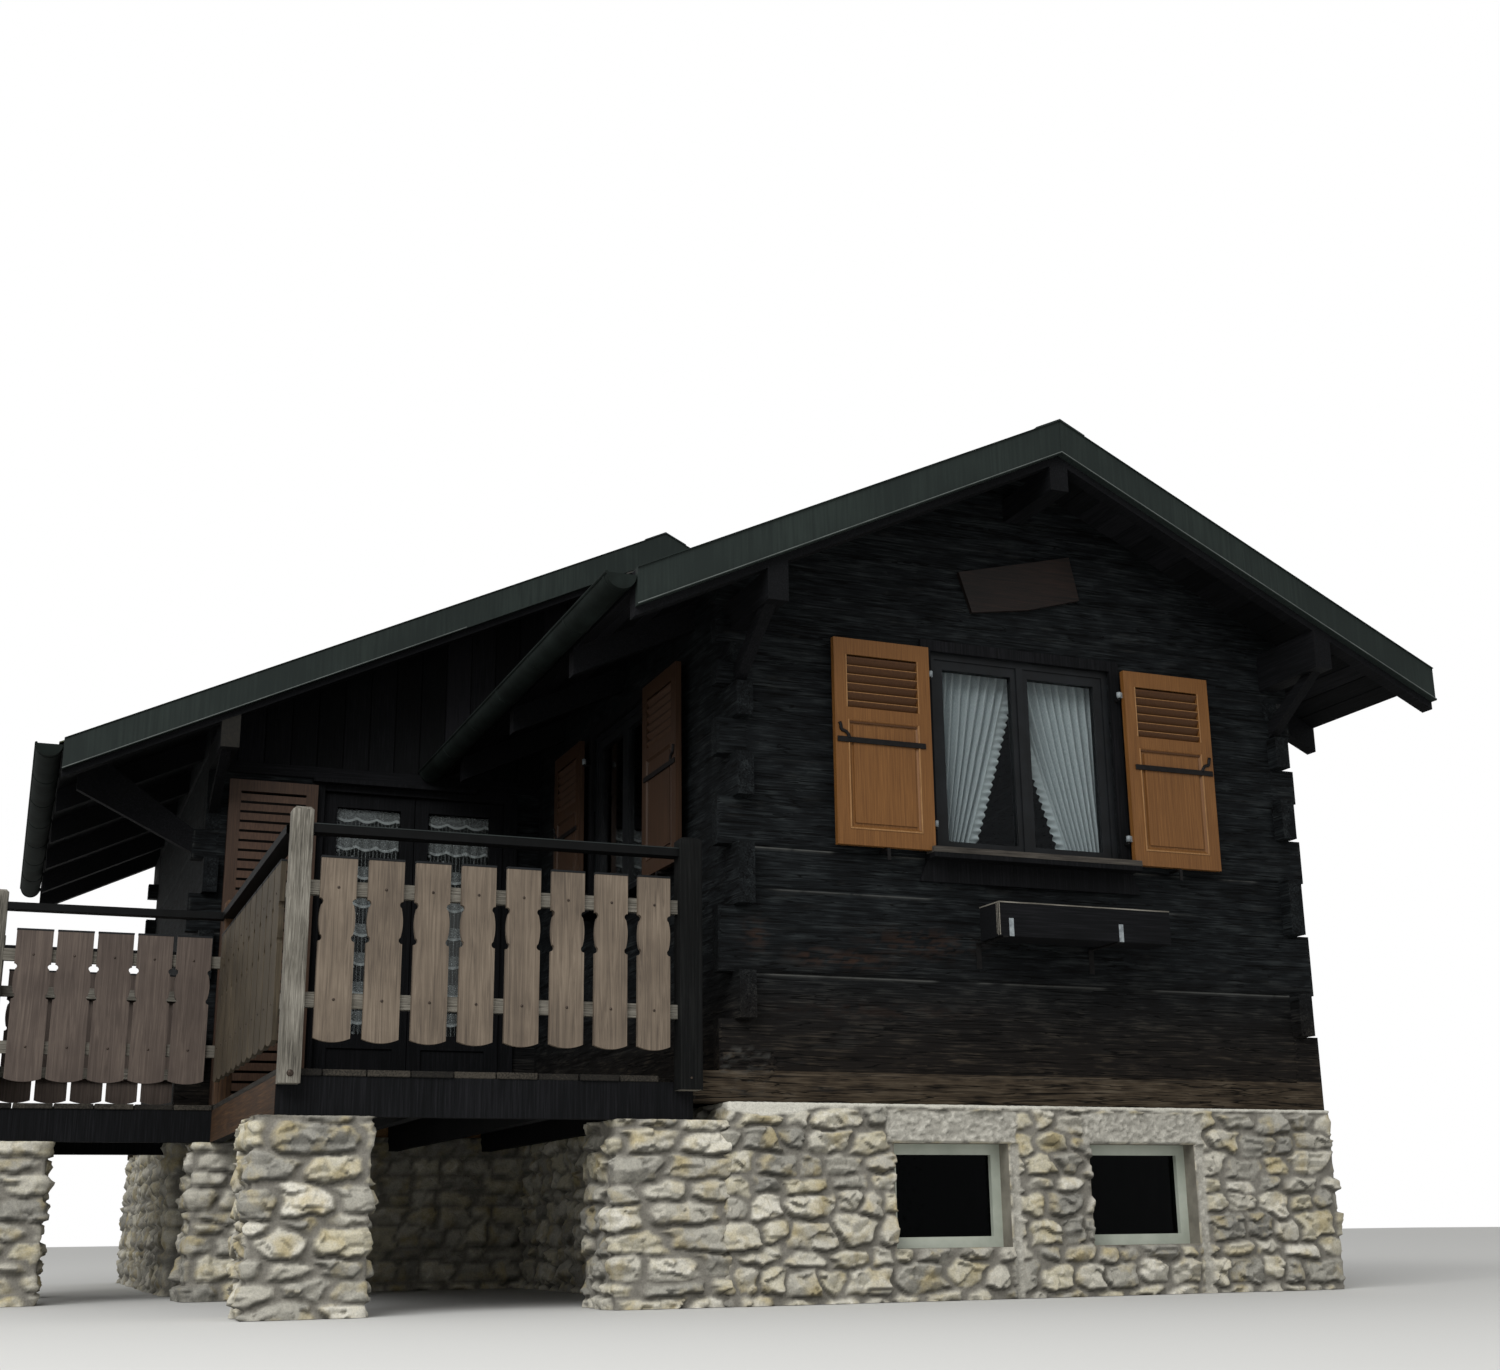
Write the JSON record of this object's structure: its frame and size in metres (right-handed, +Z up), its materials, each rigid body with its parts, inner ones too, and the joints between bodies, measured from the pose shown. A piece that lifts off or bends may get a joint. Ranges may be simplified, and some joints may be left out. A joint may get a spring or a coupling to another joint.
{
  "type": "alpine log chalet",
  "caption": "Small log chalet on a rubble plinth with two gables, a railed deck, louvred shutters and a glazed double door.",
  "frame": {"origin": "middle of the overall box, at the level of the lowest ground", "axes": "+X along the front wall to the viewer's right, +Y from the front gable to the rear gable, +Z up"},
  "size_m": [7.51, 8.498, 5.03],
  "materials": {
    "masonry": "limestone rubble laid in grey mortar",
    "concrete": "rough grey concrete",
    "floor_boards": "planed softwood boards",
    "logs": "hewn softwood logs, stained blue-black and weathered",
    "cladding": "upright boards, dark stained and weathered",
    "roofing": "dark grey roof sheets on boards, with a little moss",
    "roof_timber": "dark stained softwood, rough",
    "sheet_metal": "grey-green painted sheet, half matt",
    "window_wood": "dark brown painted wood",
    "cellar_paint": "pale greenish paint, worn",
    "window_glass": "clear, slightly dusty",
    "casing_wood": "brown stained wood, weathered",
    "box_wood": "brown stained wood",
    "sign_wood": "dark bare plank",
    "irons": "black, slightly rusty",
    "curtain": "thin white cloth",
    "deck_wood": "weathered boards",
    "dark_beam": "dark weathered beams",
    "grey_wood": "silver-grey weathered wood",
    "rail_boards": "taupe-brown weathered boards",
    "door_wood": "brown stained wood",
    "tan_shutter": "ochre-tan painted wood, half matt",
    "red_shutter": "red-brown painted wood, half matt"
  },
  "bodies": {
    "house": {"plinth_front": "masonry", "plinth_left": "masonry", "plinth_right": "masonry", "plinth_rear": "masonry", "cellar_floor": "concrete", "main_floor": "floor_boards", "front_wall": "logs", "left_wall": "logs", "right_wall": "logs", "wing_wall_left": "logs", "wing_wall_right": "logs", "wing_gable": "cladding", "wing_left_wall": "logs", "rear_wall": "logs", "rafters": "roof_timber", "front_roof_left": "roofing", "front_roof_right": "roofing", "wing_roof_left": "roofing", "wing_roof_right": "roofing", "barge_boards": "sheet_metal", "ridge_caps": "sheet_metal", "purlins": "roof_timber", "braces": "roof_timber", "gutters": "sheet_metal", "front_window": "window_wood", "other_windows": "window_wood", "cellar_windows": "cellar_paint", "window_glass": "window_glass", "window_casings": "casing_wood", "door_frame": "door_wood", "flower_box": "box_wood", "name_board": "sign_wood", "wall_irons": "irons", "window_curtains": "curtain", "deck_piers": "masonry", "deck_beams": "dark_beam", "deck_floor": "deck_wood", "deck_posts": "grey_wood", "deck_rails": "grey_wood", "railing_front": "rail_boards", "railing_left": "rail_boards", "railing_back": "rail_boards"},
    "door_left": {"door_leaf_left": "door_wood", "door_glass_left": "window_glass", "door_curtain_left": "curtain"},
    "door_right": {"door_leaf_right": "door_wood", "door_glass_right": "window_glass", "door_curtain_right": "curtain"},
    "shutter_front_left": {"shutter_front_left": "tan_shutter"},
    "shutter_front_right": {"shutter_front_right": "tan_shutter"},
    "shutter_side_near": {"shutter_side_near": "red_shutter"},
    "shutter_side_far": {"shutter_side_far": "red_shutter"},
    "shutter_door": {"shutter_door": "red_shutter"}
  },
  "joints": [
    {"name": "door_left_hinge", "type": "hinge", "parent": "house", "child": "door_left", "pos_m": [-1.792, 0, 2.1], "axis": [0, 0, 1], "range_deg": [0, 95]},
    {"name": "door_right_hinge", "type": "hinge", "parent": "house", "child": "door_right", "pos_m": [-0.583, 0, 2.1], "axis": [0, 0, -1], "range_deg": [0, 95]},
    {"name": "shutter_front_left_hinge", "type": "hinge", "parent": "house", "child": "shutter_front_left", "pos_m": [0.777, -3.76, 2.76], "axis": [0, 0, 1], "range_deg": [0, 180]},
    {"name": "shutter_front_right_hinge", "type": "hinge", "parent": "house", "child": "shutter_front_right", "pos_m": [1.953, -3.76, 2.76], "axis": [0, 0, -1], "range_deg": [0, 180]},
    {"name": "shutter_side_near_hinge", "type": "hinge", "parent": "house", "child": "shutter_side_near", "pos_m": [-0.4, -2.528, 2.76], "axis": [0, 0, -1], "range_deg": [0, 180]},
    {"name": "shutter_side_far_hinge", "type": "hinge", "parent": "house", "child": "shutter_side_far", "pos_m": [-0.4, -1.352, 2.76], "axis": [0, 0, 1], "range_deg": [0, 180]},
    {"name": "shutter_door_hinge", "type": "hinge", "parent": "house", "child": "shutter_door", "pos_m": [-1.832, -0.16, 2.1], "axis": [0, 0, 1], "range_deg": [0, 180]}
  ]
}
